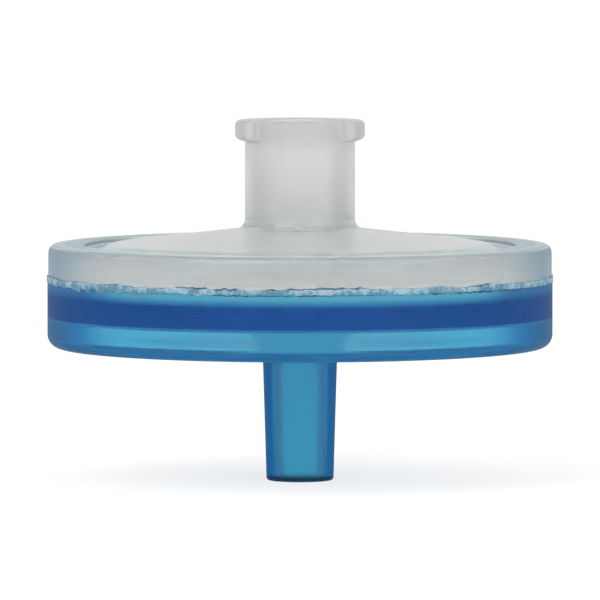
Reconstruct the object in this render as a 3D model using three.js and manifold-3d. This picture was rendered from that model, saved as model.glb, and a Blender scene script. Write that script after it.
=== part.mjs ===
// Syringe filter: a flat round filter housing with a female luer inlet above and a male luer outlet below.
// Two welded shells hold a membrane disc between them.
// Units are millimetres. +Z runs up through the inlet, and z = 0 is the end face of the outlet tip.

import * as THREE from 'three';
import { mergeVertices } from 'three/addons/utils/BufferGeometryUtils.js';
import Module from 'manifold-3d';

// ---- Driving dimensions ----

// Fineness of the round stretches.
const CIRCLE_SEGMENTS = 48;
const ARC_STEPS = 4;

// Membrane disc, the room round its edge, and the inlet shell's plug that clamps it.
const MEMBRANE_RADIUS = 12.6;
const MEMBRANE_THICKNESS = 0.2;
const MEMBRANE_CLEARANCE = 0.4;
const CLAMPED_WIDTH = 1.3;
const PLUG_CLEARANCE = 0.3;

// Disc of the housing, from the bottom of the skirt up to the top of the rim.
const RIM_WIDTH = 2.15;
const INLET_RIM_INSET = 0.05;
const SKIRT_DEPTH = 1.95;
const SKIRT_WALL = 1.2;
const FLOOR_THICKNESS = 1.55;
const SEAT_DEPTH = 0.5;
const INLET_RIM_HEIGHT = 2.2;
const SKIRT_CORNER_RADIUS = 0.8;
const RIM_CORNER_RADIUS = 0.5;
const SKIRT_INNER_CHAMFER = 0.3;

// Male luer tip, a six per cent cone on its diameter.
const LUER_TAPER = 0.06;
const TIP_LENGTH = 8.0;
const TIP_END_RADIUS = 2.01;
const TIP_EDGE_CHAMFER = 0.2;
const TIP_BORE_RADIUS = 1.0;
const TIP_ROOT_FLARE = 1.85;
const TIP_ROOT_REACH = 3.4;

// Cone of the inlet shell, and the shallow groove between it and the rim.
const CONE_ANGLE_DEG = 6.6;
const CONE_EDGE_RISE = 0.05;
const GROOVE_DEPTH = 0.45;
const GROOVE_SIDE_WIDTH = 0.9;
const RIM_INNER_CHAMFER = 0.35;

// Female luer hub, the web under its bore, and its two lock ears.
const HUB_RADIUS = 3.3;
const HUB_FILLET_RADIUS = 0.6;
const HUB_EDGE_RADIUS = 0.15;
const LUER_MOUTH_RADIUS = 2.146;
const LUER_MOUTH_CHAMFER = 0.12;
const LUER_DEPTH = 7.5;
const INLET_WEB_THICKNESS = 1.06;
const LUG_PROJECTION = 0.6;
const LUG_CHORD = 5.9;
const LUG_HEIGHT = 0.95;
const LUG_FLANK_DROP = 0.3;
const LUG_EDGE_RADIUS = 0.4;
const LUG_LOWER_CHAMFER = 0.2;

// Opening from the luer bore into the chamber: two slots that cross.
const INLET_SLOT_LENGTH = 2.9;
const INLET_SLOT_WIDTH = 0.85;

// Chambers on both sides of the membrane, and the ribs in them.
const CHAMBER_CEILING_RISE = 0.6;
const CHAMBER_CEILING_ANGLE_DEG = 4;
const DRAIN_DEPTH = 0.45;
const INLET_RIB_FIRST_RADIUS = 4.7;
const OUTLET_RIB_FIRST_RADIUS = 2.7;
const RIB_PITCH = 1.0;
const RIB_WIDTH = 0.42;
const RIB_WALL_GAP = 0.35;
const INLET_RIB_CLEARANCE = 0.15;
const CHANNEL_WIDTH = 1.3;
const BAR_WIDTH = 0.9;
const SPOKE_COUNT = 8;
const SPOKE_OFFSET_DEG = 8;
const BAR_SPOKES = [0, 4];

// How far a solid runs into what it joins, or past what it cuts.
const OVERRUN = 0.2;

// ---- Sizes worked out from them ----

const chamberRadius = MEMBRANE_RADIUS - CLAMPED_WIDTH;
const seatRadius = MEMBRANE_RADIUS + MEMBRANE_CLEARANCE;
const discRadius = seatRadius + RIM_WIDTH;
const inletRimRadius = discRadius - INLET_RIM_INSET;
const lugRadius = HUB_RADIUS + LUG_PROJECTION;

const skirtZ = TIP_LENGTH;
const floorUndersideZ = skirtZ + SKIRT_DEPTH;
const skirtInnerRadius = discRadius - SKIRT_WALL;
const skirtCornerRadius = Math.min(SKIRT_CORNER_RADIUS, SKIRT_WALL - SKIRT_INNER_CHAMFER);
const seatZ = floorUndersideZ + FLOOR_THICKNESS;
const drainZ = seatZ - DRAIN_DEPTH;
const weldZ = seatZ + SEAT_DEPTH;
const membraneTopZ = seatZ + MEMBRANE_THICKNESS;
const rimTopZ = weldZ + INLET_RIM_HEIGHT;
const grooveZ = rimTopZ - GROOVE_DEPTH;

const coneSlope = Math.tan(THREE.MathUtils.degToRad(CONE_ANGLE_DEG));
const ceilingSlope = Math.tan(THREE.MathUtils.degToRad(CHAMBER_CEILING_ANGLE_DEG));
const ceilingEdgeZ = membraneTopZ + CHAMBER_CEILING_RISE;
const plugRadius = seatRadius - PLUG_CLEARANCE;

const coneZ = (radius) => rimTopZ + CONE_EDGE_RISE + (chamberRadius - radius) * coneSlope;
const ceilingZ = (radius) => ceilingEdgeZ + (chamberRadius - radius) * ceilingSlope;
const luerFloorZ = ceilingZ(0) + INLET_WEB_THICKNESS;
const hubTopZ = luerFloorZ + LUER_DEPTH;

const tipRadius = (z) => TIP_END_RADIUS + z * LUER_TAPER / 2;
const luerRadius = (z) => LUER_MOUTH_RADIUS - (hubTopZ - z) * LUER_TAPER / 2;

// ---- Solids ----

const wasm = await Module();
wasm.setup();

/** Turns a closed three.js geometry into a solid that can be cut and joined. */
function solidFrom(geometry) {
  geometry.deleteAttribute('normal');
  geometry.deleteAttribute('uv');
  const merged = mergeVertices(geometry);
  const index = merged.index.array;
  const kept = [];
  for (let i = 0; i < index.length; i += 3) {
    const [a, b, c] = index.slice(i, i + 3);
    if (a !== b && b !== c && c !== a) {
      kept.push(a, b, c);
    }
  }
  return new wasm.Manifold(new wasm.Mesh({
    numProp: 3,
    vertProperties: new Float32Array(merged.attributes.position.array),
    triVerts: new Uint32Array(kept),
  }));
}

/** Revolves a profile of [radius, z] points round the Z axis. It runs up the outside and down the inside. */
function revolve(profile) {
  const points = profile.map(([radius, z]) => new THREE.Vector2(radius, z));
  points.push(points[0].clone());
  const geometry = new THREE.LatheGeometry(points, CIRCLE_SEGMENTS);
  geometry.rotateX(Math.PI / 2);
  return solidFrom(geometry);
}

/** Points on an arc of an ellipse in a profile, from one angle to another, in degrees. */
function arc(centreRadius, centreZ, radiusAcross, radiusUp, fromDeg, toDeg) {
  const points = [];
  for (let step = 0; step <= ARC_STEPS; step += 1) {
    const angle = THREE.MathUtils.degToRad(fromDeg + (toDeg - fromDeg) * step / ARC_STEPS);
    points.push([
      centreRadius + radiusAcross * Math.cos(angle),
      centreZ + radiusUp * Math.sin(angle),
    ]);
  }
  return points;
}

/** A ring of rectangular section. */
function ring(innerRadius, outerRadius, bottomZ, topZ) {
  return revolve([
    [innerRadius, bottomZ],
    [outerRadius, bottomZ],
    [outerRadius, topZ],
    [innerRadius, topZ],
  ]);
}

/** A block that runs out from the axis at an angle, from one radius to another. */
function spoke(angleDeg, innerRadius, outerRadius, width, bottomZ, topZ) {
  const block = new THREE.BoxGeometry(outerRadius - innerRadius, width, topZ - bottomZ);
  block.translate((innerRadius + outerRadius) / 2, 0, (bottomZ + topZ) / 2);
  block.rotateZ(THREE.MathUtils.degToRad(angleDeg));
  return solidFrom(block);
}

const joinAll = (solids) => solids.reduce((whole, solid) => whole.add(solid));
const spokeAngle = (index) => SPOKE_OFFSET_DEG + index * 360 / SPOKE_COUNT;
const spokeIndexes = [...Array(SPOKE_COUNT).keys()];

/** Middle radii of the concentric ribs, as many as the chamber takes. */
function ribRadii(firstRadius) {
  const radii = [];
  const lastRadius = chamberRadius - RIB_WALL_GAP - RIB_WIDTH / 2;
  for (let radius = firstRadius; radius <= lastRadius; radius += RIB_PITCH) {
    radii.push(radius);
  }
  return radii;
}

/** Concentric ribs between two levels, cut by the open radial channels. */
function ribRings(firstRadius, bottomZ, topZ, channelIndexes) {
  const rings = joinAll(ribRadii(firstRadius).map((radius) => (
    ring(radius - RIB_WIDTH / 2, radius + RIB_WIDTH / 2, bottomZ, topZ)
  )));
  const channels = joinAll(channelIndexes.map((index) => (
    spoke(spokeAngle(index), 0, chamberRadius, CHANNEL_WIDTH, bottomZ - OVERRUN, topZ + OVERRUN)
  )));
  return rings.subtract(channels);
}

// ---- Inlet shell ----

/** Cone, groove, rim and hub with its tapered bore, closed over the chamber. */
function inletBody() {
  const coneFootRadius = HUB_RADIUS + HUB_FILLET_RADIUS;
  const filletZ = coneZ(coneFootRadius) + HUB_FILLET_RADIUS;
  const edgeZ = hubTopZ - HUB_EDGE_RADIUS;
  return revolve([
    [0, ceilingZ(0)],
    [chamberRadius, ceilingEdgeZ],
    [chamberRadius, membraneTopZ],
    [plugRadius, membraneTopZ],
    [plugRadius, weldZ],
    [inletRimRadius, weldZ],
    ...arc(inletRimRadius - RIM_CORNER_RADIUS, rimTopZ - RIM_CORNER_RADIUS,
      RIM_CORNER_RADIUS, RIM_CORNER_RADIUS, 0, 90),
    [seatRadius, rimTopZ],
    [seatRadius - RIM_INNER_CHAMFER, grooveZ],
    [chamberRadius + GROOVE_SIDE_WIDTH, grooveZ],
    [chamberRadius, coneZ(chamberRadius)],
    ...arc(coneFootRadius, filletZ, HUB_FILLET_RADIUS, HUB_FILLET_RADIUS, 270, 180),
    ...arc(HUB_RADIUS - HUB_EDGE_RADIUS, edgeZ, HUB_EDGE_RADIUS, HUB_EDGE_RADIUS, 0, 90),
    [LUER_MOUTH_RADIUS + LUER_MOUTH_CHAMFER, hubTopZ],
    [luerRadius(hubTopZ - LUER_MOUTH_CHAMFER), hubTopZ - LUER_MOUTH_CHAMFER],
    [luerRadius(luerFloorZ), luerFloorZ],
    [0, luerFloorZ],
  ]);
}

/** The two lock ears at the hub's mouth: a lipped ring, kept only beside the X axis. */
function lugs() {
  const lugBottomZ = hubTopZ - LUG_HEIGHT;
  const rootRadius = (luerRadius(hubTopZ) + HUB_RADIUS) / 2;
  const lip = revolve([
    [rootRadius, lugBottomZ - LUG_FLANK_DROP],
    [HUB_RADIUS, lugBottomZ - LUG_FLANK_DROP],
    [lugRadius - LUG_LOWER_CHAMFER, lugBottomZ],
    [lugRadius, lugBottomZ + LUG_LOWER_CHAMFER],
    ...arc(lugRadius - LUG_EDGE_RADIUS, hubTopZ - LUG_EDGE_RADIUS, LUG_EDGE_RADIUS, LUG_EDGE_RADIUS, 0, 90),
    [rootRadius, hubTopZ],
  ]);
  const keptHeight = 2 * (LUG_HEIGHT + LUG_FLANK_DROP + OVERRUN);
  const kept = new THREE.BoxGeometry(2 * (lugRadius + OVERRUN), LUG_CHORD, keptHeight);
  kept.translate(0, 0, hubTopZ);
  return lip.intersect(solidFrom(kept));
}

/** Two slots that cross under the luer bore and let the fluid into the chamber. */
function inletOpening() {
  const halfLength = INLET_SLOT_LENGTH / 2;
  return joinAll([0, 90].map((angle) => (
    spoke(SPOKE_OFFSET_DEG + angle, -halfLength, halfLength, INLET_SLOT_WIDTH,
      ceilingEdgeZ, luerFloorZ + OVERRUN)
  )));
}

/** Concentric ribs and the two solid bars that hang from the chamber's ceiling. */
function inletRibs() {
  const ribBottomZ = membraneTopZ + INLET_RIB_CLEARANCE;
  const channels = spokeIndexes.filter((index) => !BAR_SPOKES.includes(index));
  const ribTopZ = ceilingZ(0) + OVERRUN;
  const bars = BAR_SPOKES.map((index) => (
    spoke(spokeAngle(index), INLET_RIB_FIRST_RADIUS, chamberRadius + OVERRUN, BAR_WIDTH, ribBottomZ, ribTopZ)
  ));
  return joinAll([ribRings(INLET_RIB_FIRST_RADIUS, ribBottomZ, ribTopZ, channels), ...bars]);
}

function inletShell() {
  return joinAll([inletBody(), lugs(), inletRibs()]).subtract(inletOpening());
}

// ---- Outlet shell ----

/** Skirt, floor plate, membrane seat and tip, with the bore and the drain chamber open. */
function outletBody() {
  const tipRootZ = floorUndersideZ - TIP_ROOT_REACH;
  return revolve([
    [TIP_BORE_RADIUS, 0],
    [tipRadius(0) - TIP_EDGE_CHAMFER, 0],
    [tipRadius(TIP_EDGE_CHAMFER), TIP_EDGE_CHAMFER],
    ...arc(tipRadius(tipRootZ) + TIP_ROOT_FLARE, tipRootZ, TIP_ROOT_FLARE, TIP_ROOT_REACH, 180, 90),
    [skirtInnerRadius - SKIRT_INNER_CHAMFER, floorUndersideZ],
    [skirtInnerRadius, floorUndersideZ - SKIRT_INNER_CHAMFER],
    [skirtInnerRadius, skirtZ + SKIRT_INNER_CHAMFER],
    [skirtInnerRadius + SKIRT_INNER_CHAMFER, skirtZ],
    ...arc(discRadius - skirtCornerRadius, skirtZ + skirtCornerRadius,
      skirtCornerRadius, skirtCornerRadius, 270, 360),
    [discRadius, weldZ],
    [seatRadius, weldZ],
    [seatRadius, seatZ],
    [chamberRadius, seatZ],
    [chamberRadius, drainZ],
    [TIP_BORE_RADIUS, drainZ],
  ]);
}

function outletShell() {
  const ribs = ribRings(OUTLET_RIB_FIRST_RADIUS, drainZ - OVERRUN, seatZ, spokeIndexes);
  return outletBody().add(ribs);
}

// ---- Membrane ----

function membrane() {
  return revolve([
    [0, seatZ],
    [MEMBRANE_RADIUS, seatZ],
    [MEMBRANE_RADIUS, membraneTopZ],
    [0, membraneTopZ],
  ]);
}

// ---- Assembly ----

/** Wraps a solid as a named mesh with its own material. */
function piece(name, solid, colour, roughness) {
  const { vertProperties, triVerts } = solid.getMesh();
  const geometry = new THREE.BufferGeometry();
  geometry.setAttribute('position', new THREE.BufferAttribute(vertProperties, 3));
  geometry.setIndex(new THREE.BufferAttribute(triVerts, 1));
  geometry.computeVertexNormals();
  const material = new THREE.MeshStandardMaterial({ color: colour, roughness, metalness: 0 });
  const mesh = new THREE.Mesh(geometry, material);
  mesh.name = name;
  return mesh;
}

const syringeFilter = new THREE.Group();
syringeFilter.add(
  piece('inlet_shell', inletShell(), 0xcbd2d2, 0.45),
  piece('membrane', membrane(), 0xf2f3f1, 0.9),
  piece('outlet_shell', outletShell(), 0x2f7fb5, 0.4),
);

export default syringeFilter;
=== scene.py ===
"""Syringe filter: two translucent welded shells round a white membrane.

Everything is built and finished around the CAD frame.
"""

import math

import bpy
import numpy as np
from bpy.props import FloatProperty, FloatVectorProperty, IntProperty, PointerProperty
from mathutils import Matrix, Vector


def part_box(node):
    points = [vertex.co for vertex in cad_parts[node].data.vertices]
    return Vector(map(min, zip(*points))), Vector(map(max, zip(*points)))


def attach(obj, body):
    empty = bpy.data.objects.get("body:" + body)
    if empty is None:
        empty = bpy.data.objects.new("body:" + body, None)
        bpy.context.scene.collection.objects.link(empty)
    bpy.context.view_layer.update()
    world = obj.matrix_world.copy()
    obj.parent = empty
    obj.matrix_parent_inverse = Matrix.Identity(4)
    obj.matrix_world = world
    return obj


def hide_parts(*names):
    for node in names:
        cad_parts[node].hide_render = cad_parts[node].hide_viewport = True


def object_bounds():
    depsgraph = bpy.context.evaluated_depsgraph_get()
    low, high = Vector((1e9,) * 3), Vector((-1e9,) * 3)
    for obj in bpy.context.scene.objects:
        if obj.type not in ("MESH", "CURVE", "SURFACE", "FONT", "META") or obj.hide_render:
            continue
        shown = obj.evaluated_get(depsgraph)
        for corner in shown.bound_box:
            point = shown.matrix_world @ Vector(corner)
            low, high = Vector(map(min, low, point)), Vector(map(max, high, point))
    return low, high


bl_info = {
    "name": "Syringe Filter",
    "version": (1, 0, 0),
    "blender": (4, 5, 0),
    "location": "3D View > Sidebar > Filter",
    "description": "Builds the shells, membrane and studio of a luer syringe filter",
    "category": "Object",
}

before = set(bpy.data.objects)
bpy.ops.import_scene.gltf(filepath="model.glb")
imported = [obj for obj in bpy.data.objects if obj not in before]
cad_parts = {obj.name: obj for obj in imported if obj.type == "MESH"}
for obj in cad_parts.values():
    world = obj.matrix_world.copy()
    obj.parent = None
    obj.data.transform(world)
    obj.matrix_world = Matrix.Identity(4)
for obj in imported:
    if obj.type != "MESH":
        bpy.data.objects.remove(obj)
CAD_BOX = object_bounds()
_, INLET_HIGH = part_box("inlet_shell")
_, OUTLET_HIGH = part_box("outlet_shell")
MEMBRANE_LOW, MEMBRANE_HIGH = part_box("membrane")


# ---------------------------------------------------------------- fixed values


MM = 0.001
WHITE = (1.0, 1.0, 1.0)

# Ribs and channels.
SPOKES = 8
BAR_SPOKES = (0, 4)
BAR_START = 4.3 * MM
RIB_SHOULDER = 0.9
ACROSS_HALF_CHANNEL = (0.0, 0.25, 0.5, 0.75, 0.93)

# Heights over the tip's end.
RIM_TOP_Z = 0.0142
SKIRT_BOTTOM_Z = 0.008

# Small parts of the profiles.
MOST_OF_A_SIDE = 0.45
LOBES = 4
CEILING_RINGS = (2.2 * MM, 3.6 * MM)
LAND_STEP = 0.02 * MM
GROOVE_OUTER_SLOPE = 0.3 * MM
GROOVE_INNER_SLOPE = 0.9 * MM
MOUTH_FLAT = 0.25 * MM
MOUTH_BEVEL = 0.12 * MM
MOUTH_CORNER = 0.06 * MM
BORE_CORNER = 0.25 * MM
BORE_LEDGE = 0.3 * MM
TIP_BEVEL = 0.1 * MM
FLOOR_LEDGE = 0.4 * MM
SKIRT_INNER_CORNER = 0.3 * MM
SIDE_START = 0.3 * MM
DRAIN_LEDGE = 0.12 * MM
MEMBRANE_RINGS = (0.02 * MM, 6 * MM, 11.3 * MM)

# The rounded ends of the four-lobed opening: how far it widens, and how far from its end.
OPENING_FOOT = ((0.0, 0.3 * MM), (0.03 * MM, 0.05 * MM), (0.12 * MM, -0.04 * MM))
OPENING_HEAD = ((0.12 * MM, 0.0), (0.03 * MM, -0.06 * MM), (0.0, -0.2 * MM))

# The flash: its random values, and how many knots of them go round the seam.
FLASH_SEED = 7
KNOTS = {
    "teeth": 190,
    "nibs": 620,
    "rise": 320,
    "slow rise": 70,
    "thickness": 300,
    "upper strays": 31,
    "lower strays": 37,
    "breaks": 150,
    "thread height": 420,
    "inner drop": 240,
    "inner spread": 330,
    "slow inner spread": 45,
}
TEETH_LEVEL = 0.45
DROP_LEAST = 0.4
DROP_VARIES = 1.2
RISE_LEAST = 0.55
RISE_VARIES = 0.3
PROUD_LEAST = 0.35
# Painted shadow lines along the seam, over and under the flash: how they stray, break and stand
# out.
STRAY_SHADOW_LINE = 0.8
STRAY_STEP = (0.5, 0.8)
BREAK_STEP = (0.15, 0.5)
SHADOW_LINE_LEAST = 0.5
SHADOW_LINE_BELOW = 0.4
SHADOW_LINE_ABOVE = 0.6
SHADOW_LINE_THICKNESS = 0.8
INNER_INSET = 0.01 * MM
INNER_DROP = 0.10 * MM
INNER_DROP_VARIES = 0.14 * MM
INNER_SPREAD = 0.05 * MM
INNER_SPREAD_VARIES = 0.17 * MM

# Section of the flash: shares of how far it stands out, hangs down and reaches up.
LIP_PROFILE = (
    (0.1, -1.0, 0.0),
    (0.35, -0.97, 0.0),
    (0.8, -0.6, 0.0),
    (1.0, -0.1, 0.1),
    (0.9, 0.0, 0.6),
    (0.45, 0.0, 0.95),
    (0.0, 0.0, 1.0),
    (-0.6, 0.0, 0.5),
    (0.02, -0.3, 0.0),
)

# Plastic in general. A cloud is the share of light that scatters in it, the trapped share
# bounces on inside it, and its milk is the colour of what scatters.
PLASTIC_IOR = 1.49
MILK_ROUGHNESS = 0.35
MILK_SPECULAR = 0.1
GRAIN_SHARE = 0.3
FLAT_FACE = (0.6, 0.8)

# The colourless shell. Its hub, top, ring, edge and groove-edge milks are darker copies of its
# milk, painted shade, and the groove's extra cloud is painted light.
NATURAL_GLOSS = 0.35
NATURAL_TRAPPED = 0.85
NATURAL_EDGE_TRAPPED = 0.45
NATURAL_RIM_TRAPPED = 0.1
HUB_TRAPPED = 0.6
NATURAL_EDGE = (0.24, 0.42, 0.52)
NATURAL_RIM = (0.88, 1.0, 1.0)
NATURAL_HUB_CLOUD = 0.34
NATURAL_FLAT_CLOUD = -0.04
NATURAL_GRAZE_CLOUD = 0.18
RIM_GRAZE_CLOUD = 0.42
NATURAL_WELD_CLOUD = 0.2
PLUG_CLOUD = 0.5
TOP_SHADE_CLOUD = 0.2
RIB_WALL_CLOUD = 0.62
CRESCENT_SHADE_CLOUD = 0.75
GROOVE_LIGHT_CLOUD = 0.3
NATURAL_EDGE_SHADE_CLOUD = 0.2
NATURAL_HUB_SHADE_MILK = (0.76, 0.77, 0.76)
RING_SHADE_MILK = (0.70, 0.83, 0.87)
HUB_TOP_SHADE_MILK = (0.66, 0.67, 0.66)
NATURAL_EDGE_SHADE_MILK = (0.40, 0.52, 0.60)
CRESCENT_SHADE_MILK = (0.24, 0.33, 0.39)

# The blue shell. Its leak, skirt and root milks are painted light; its skirt-end and foot milks are
# painted shade.
BLUE_GLOSS = 0.12
BLUE_TRAPPED = 0.05
TIP_TRAPPED = 0.72
BLUE_EDGE = (0.07, 0.32, 0.62)
TIP_TINT = (0.58, 0.82, 0.87)
TIP_EDGE = (0.22, 0.34, 0.55)
TIP_RIM = (0.29, 0.40, 0.60)
PLATE_LEAST = 0.85
PLATE_VARIES = 0.3
LEAK_FADE = 0.6
LEAK_LIGHT_CLOUD = 0.25
ROOT_LIGHT_CLOUD = 0.8
LIP_CLOUD = 0.45
SKIRT_LIGHT_CLOUD = 0.06
SKIRT_END_SHADE_CLOUD = 0.3
TIP_CLOUD = 0.15
BLUE_WELD_CLOUD = 0.6
FOOT_SHADE_CLOUD = 0.5
SKIRT_LIGHT_MILK = (0.20, 0.72, 1.0)
SKIRT_END_SHADE_MILK = (0.06, 0.32, 0.62)
ROOT_LIGHT_MILK = (0.22, 0.82, 1.0)
LIP_MILK = (0.04, 0.30, 0.62)
TIP_MILK = (0.10, 0.70, 1.0)
WELD_MILK = (0.005, 0.26, 0.50)
FOOT_SHADE_MILK = (0.01, 0.06, 0.16)

# The flash's and the membrane's finishes.
FLASH_FOOT = 0.10 * MM
FLASH_HEAD = 0.35 * MM
FINE_TEARS = 0.6
COARSE_TEARS = 0.4
PALE_UPWARD = 0.10
TORN_STEP = (0.42, 0.60)
FLASH_LET_THROUGH = 0.3
PORE_SHADE = 0.94
MEMBRANE_ROUGHNESS = 0.9

# The studio, in metres and watts.
FLOOR_HALF = 3.0
PAPER = (0.98, 0.98, 0.98)
FLOOR_GLOW = 0.75
LAMPS = (
    ("key", (-0.25, -0.35, 0.4), 0.35, 1.6),
    ("fill", (0.35, -0.3, 0.2), 0.35, 0.8),
)
LAMP_TARGET = Vector((0, 0, 0.01))


# ---------------------------------------------------------------- settings


def amount(name, description, value, **limits):
    """A number that a user can change."""
    return FloatProperty(name=name, description=description, default=value, **limits)


def length(name, description, millimetres):
    """A size that a user can change, given in millimetres and kept in metres."""
    metres = millimetres * MM
    return amount(name, description, metres, min=0.0, precision=5, unit="LENGTH")


def angle(name, description, degrees):
    """An angle that a user can change, given in degrees."""
    return amount(name, description, math.radians(degrees), subtype="ANGLE")


def share(name, description, value):
    """A share from 0 to 1 that a user can change."""
    return amount(name, description, value, min=0.0, max=1.0, subtype="FACTOR")


def colour(name, description, value):
    """A colour that a user can change."""
    limits = {"size": 3, "min": 0.0, "max": 1.0, "subtype": "COLOR"}
    return FloatVectorProperty(name=name, description=description, default=value, **limits)


def whole(name, description, value, least):
    """A whole number that a user can change."""
    return IntProperty(name=name, description=description, default=value, min=least)


class HousingSizes(bpy.types.PropertyGroup):
    """Sizes of the round housing that both shells share."""

    clamped_width: length("Clamped width", "How much of the membrane's edge is held", 1.3)
    plug_clearance: length("Plug clearance", "Room round the inlet shell's plug", 0.3)
    seat_depth: length("Seat depth", "Depth of the membrane seat below the weld", 0.5)
    seat_clearance: length("Seat clearance", "Room round the membrane's edge", 0.4)
    rim_corner: length("Rim corner", "Rounding of the inlet rim's outer edge", 0.55)
    skirt_corner: length("Skirt corner", "Rounding of the skirt's outer edge", 0.8)
    skirt_depth: length("Skirt depth", "Height of the skirt below the floor plate", 1.95)
    skirt_wall: length("Skirt wall", "Thickness of the skirt's wall", 1.2)
    groove_depth: length("Groove depth", "Depth of the groove inside the inlet rim", 0.45)
    cone_rise: length("Cone rise", "Height of the cone's foot over the rim", 0.05)
    edge_softness: length("Edge softness", "Rounding of the small moulded edges", 0.12)
    parting_gap: length("Parting gap", "Air left between two pieces that touch", 0.02)
    cone_angle: angle("Cone angle", "Slope of the inlet cone", 6.6)


class RibSizes(bpy.types.PropertyGroup):
    """Sizes of the flow ribs on both sides of the membrane."""

    pitch: length("Rib pitch", "Distance from one concentric rib to the next", 1.0)
    width: length("Rib width", "Width of a concentric rib", 0.42)
    draft: length("Rib draft", "How far a rib's side leans", 0.04)
    inlet_first: length("First inlet rib", "Radius of the inlet's innermost rib", 4.7)
    outlet_first: length("First outlet rib", "Radius of the outlet's innermost rib", 2.7)
    wall_gap: length("Wall gap", "Room between the last rib and the wall", 0.35)
    clearance: length("Rib clearance", "Room between the inlet ribs and the membrane", 0.15)
    drain_depth: length("Drain depth", "Depth of the outlet shell's grooves", 0.45)
    ceiling_rise: length("Ceiling rise", "Height of the inlet chamber at its wall", 0.6)
    channel_width: length("Channel width", "Width of the open radial channels", 1.3)
    bar_width: length("Bar width", "Width of the two solid radial bars", 0.9)
    ceiling_angle: angle("Ceiling angle", "Slope of the chamber's ceiling", 4.0)
    turn: angle("Spoke turn", "Turn of the first bar from the X axis", 8.0)


class LuerSizes(bpy.types.PropertyGroup):
    """Sizes of the inlet hub and the outlet tip."""

    taper: amount("Luer taper", "Change of diameter along a luer cone", 0.06)
    hub_radius: length("Hub radius", "Outer radius of the inlet hub", 3.3)
    hub_fillet: length("Hub fillet", "Fillet between the hub and the cone", 0.6)
    hub_edge: length("Hub edge", "Rounding of the hub's mouth", 0.15)
    mouth_radius: length("Mouth radius", "Radius of the inlet bore at its mouth", 2.146)
    bore_depth: length("Bore depth", "Depth of the inlet bore", 7.5)
    ear_radius: length("Ear radius", "Radius across the lock ears", 3.9)
    ear_full: angle("Ear length", "Angle over which half an ear keeps its full reach", 25)
    ear_end: angle("Ear end", "Angle at which half an ear has run into the hub", 46)
    ear_height: length("Ear height", "Height of a lock ear's outer edge", 1.1)
    ear_flank: length("Ear flank", "Drop of a lock ear's lower flank", 0.2)
    ear_edge: length("Ear edge", "Rounding of a lock ear's upper edge", 0.35)
    ear_lower_edge: length("Ear lower edge", "Rounding of a lock ear's lower edge", 0.3)
    lobe_mean: length("Opening radius", "Mean radius of the opening under the bore", 1.02)
    lobe_depth: length("Opening lobes", "How far the four lobes leave the mean radius", 0.42)
    tip_radius: length("Tip radius", "Radius of the outlet tip at its end", 2.01)
    tip_edge: length("Tip edge", "Rounding of the tip's end", 0.2)
    tip_bore: length("Tip bore", "Radius of the outlet bore", 1.0)
    root_flare: length("Root flare", "How far the tip's root spreads", 1.85)
    root_reach: length("Root reach", "How far down the tip its root starts to spread", 3.4)


class FlashSizes(bpy.types.PropertyGroup):
    """Sizes of the ragged plastic squeezed out of the weld, and of the painted shadow lines along
    it.
    """

    drop: length("Flash drop", "How far the pale flash hangs over the blue shell", 0.05)
    teeth: length("Flash teeth", "How far its longest teeth hang on the coarse side", 0.30)
    rise: length("Flash rise", "How far the flash reaches up the colourless rim", 0.37)
    line: length("Seam line", "Height of the dark thread over the pale flash", 0.10)
    proud: length("Flash thickness", "How far the flash stands out", 0.04)
    coarse_at: angle("Coarse side", "Where round the axis the teeth are coarsest", 219)
    coarse_over: angle("Coarse width", "How far round the axis the coarse teeth reach", 24)
    upper_at: angle("Upper thread side", "Where the dark thread runs over the flash", 256)
    lower_at: angle("Lower thread side", "Where the dark thread runs under the flash", 312)
    shadow_line_over: angle("Shadow line width", "How far round the axis each thread reaches", 27)
    columns: whole("Flash columns", "Columns of faces round the flash", 2600, 64)


class Finishes(bpy.types.PropertyGroup):
    """Colours and clarity of the three materials."""

    natural_milk: colour("Natural milk", "Cloud of the colourless plastic", (0.84, 0.86, 0.85))
    natural_cloud: share("Natural cloudiness", "How much of it scatters", 0.24)
    natural_tint: colour("Natural tint", "Colour of light through it", (0.72, 0.76, 0.80))
    natural_density: amount("Natural density", "Absorption per metre", 25.0, min=0.0)
    natural_roughness: share("Natural roughness", "How much it blurs", 0.25)
    blue_milk: colour("Blue milk", "Cloud of the blue plastic", (0.028, 0.17, 0.60))
    # Painted light: a paler milk beside the weld, where light gets in.
    painted_weld_glow: colour("Blue leak", "Cloud beside the weld, where light gets in", (0.14, 0.56, 0.74))
    blue_cloud: share("Blue cloudiness", "How much of a wall scatters", 0.12)
    blue_plate_cloud: share("Blue plate cloudiness", "How much of the plate scatters", 0.5)
    blue_tint: colour("Blue tint", "Colour of light through it", (0.55, 0.875, 0.945))
    blue_density: amount("Blue density", "Absorption per metre", 2000.0, min=0.0)
    blue_roughness: share("Blue roughness", "How much it blurs", 0.14)
    flash_pale: colour("Pale flash", "Torn colourless plastic at the weld", (0.34, 0.48, 0.56))
    flash_cold: colour("Cold flash", "Gaps where the blue shows", (0.10, 0.245, 0.345))
    # Painted shade and painted light: the dark and the lit parts of the seam's shadow lines.
    shadow_line_dark: colour("Dark thread", "Deep parts of the thread", (0.025, 0.07, 0.10))
    shadow_line_lit: colour("Lit thread", "Raised parts of the thread", (0.07, 0.16, 0.22))
    membrane: colour("Membrane", "Colour of the membrane", (0.97, 0.98, 0.97))


class StudioSettings(bpy.types.PropertyGroup):
    """Camera and lights."""

    elevation: angle("Camera elevation", "How far the camera looks down", 3.4)
    distance: length("Camera distance", "From the camera to the middle of the part", 600.0)
    field: length("Field of view", "Width of what the camera sees at the part", 36.0)
    ambient: amount("Ambient light", "Strength of the surrounding light", 1.0)


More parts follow.
